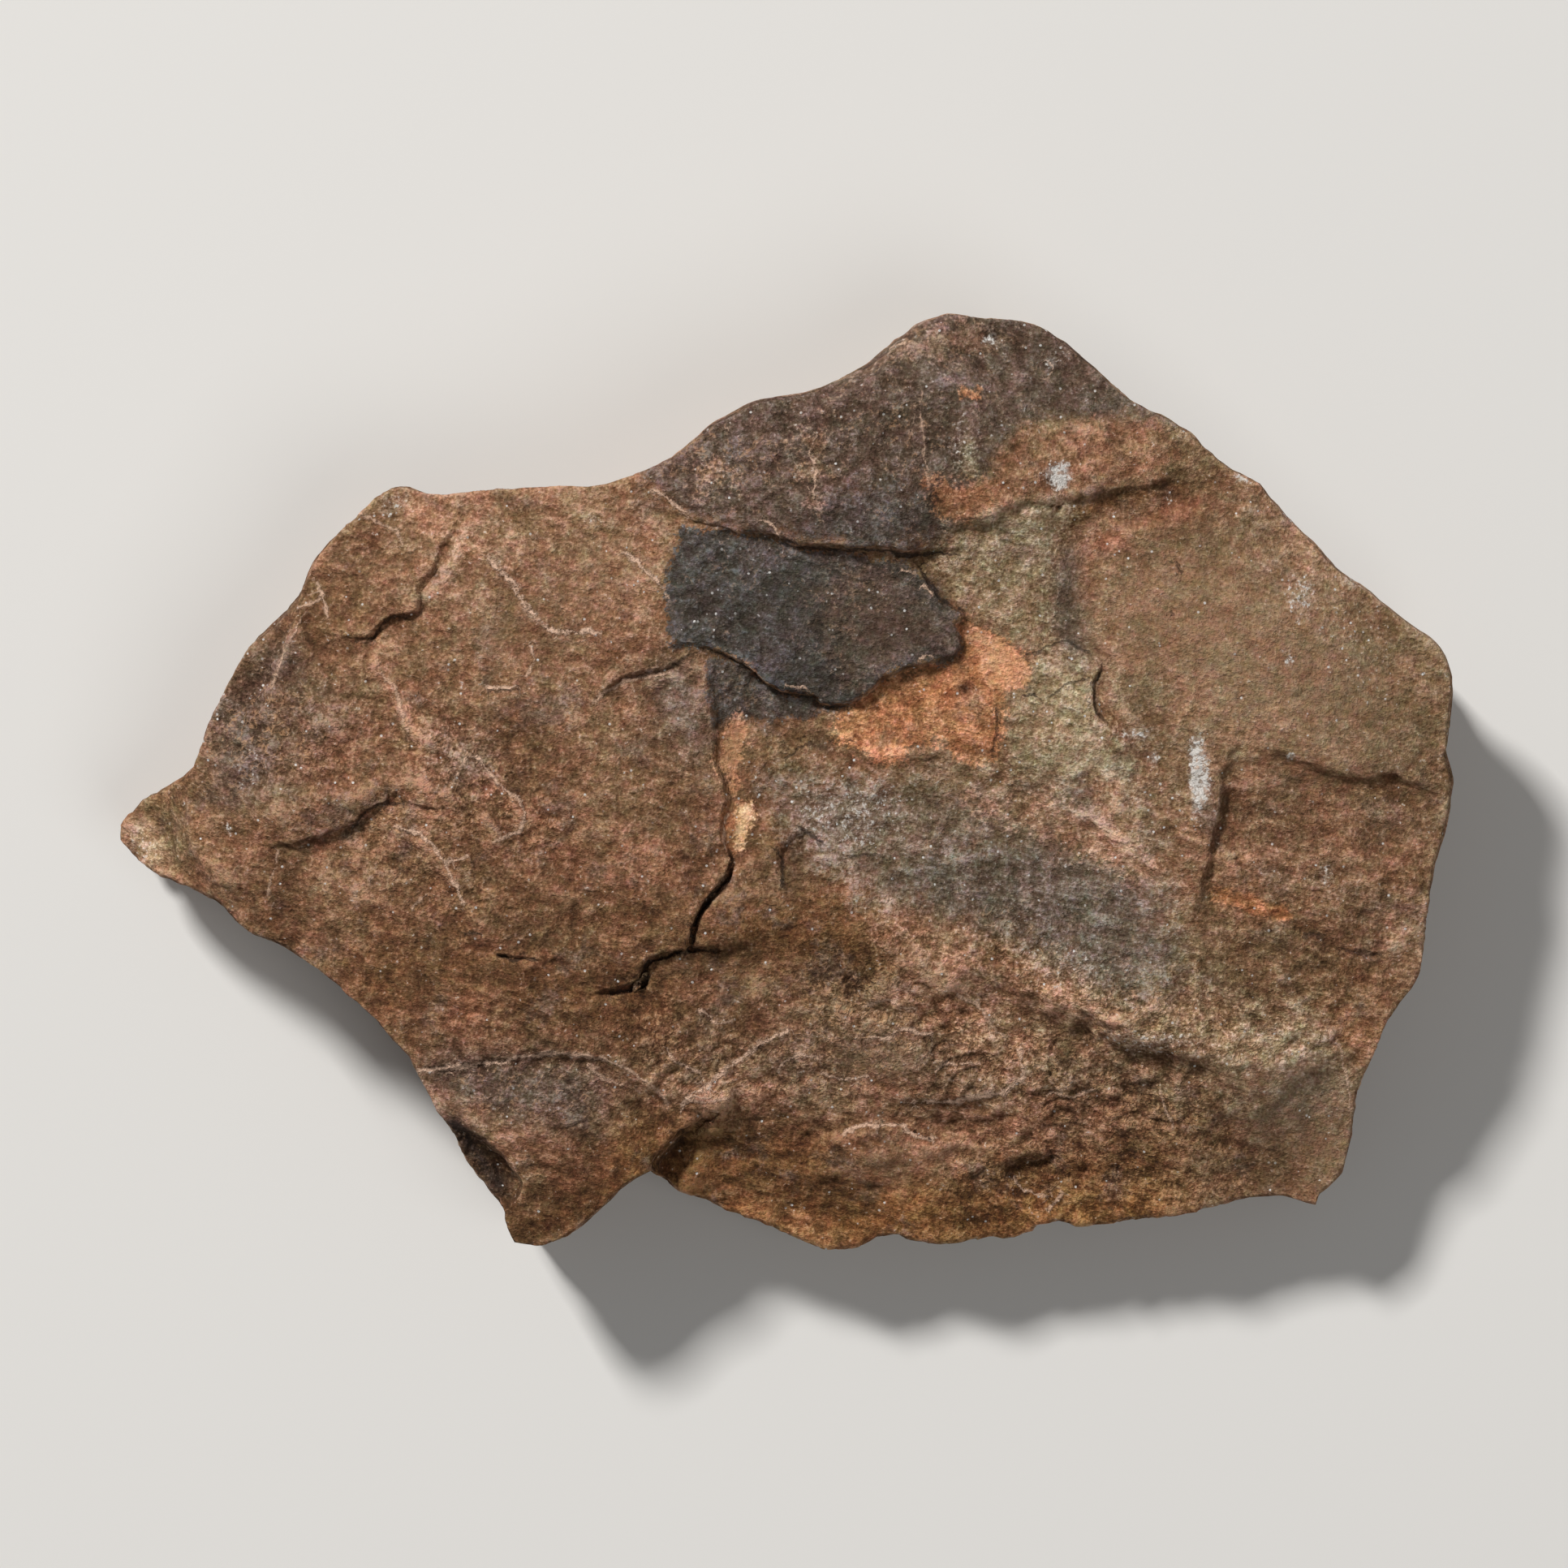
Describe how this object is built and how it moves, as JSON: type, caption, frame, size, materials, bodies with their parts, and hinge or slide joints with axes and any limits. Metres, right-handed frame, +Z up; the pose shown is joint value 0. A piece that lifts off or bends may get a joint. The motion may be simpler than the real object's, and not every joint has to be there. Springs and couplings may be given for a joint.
{
  "type": "fossil trilobite trackway slab",
  "caption": "Broken slab of bedded sandstone with a ledged and cracked trackway face, which lies on its flat underside as a display specimen.",
  "frame": {"origin": "middle of the slab's footprint, on the plane of its flat underside", "axes": "+X along the slab's length, away from its pointed tip; +Y across it, away from its lower tooth; +Z up, out of the trackway face"},
  "size_m": [0.1798, 0.1262, 0.0315],
  "materials": {
    "sandstone": "matt, fine-grained, iron-stained bedding surface with rougher broken edges"
  },
  "bodies": {
    "root": {"slab": "sandstone"}
  },
  "joints": []
}
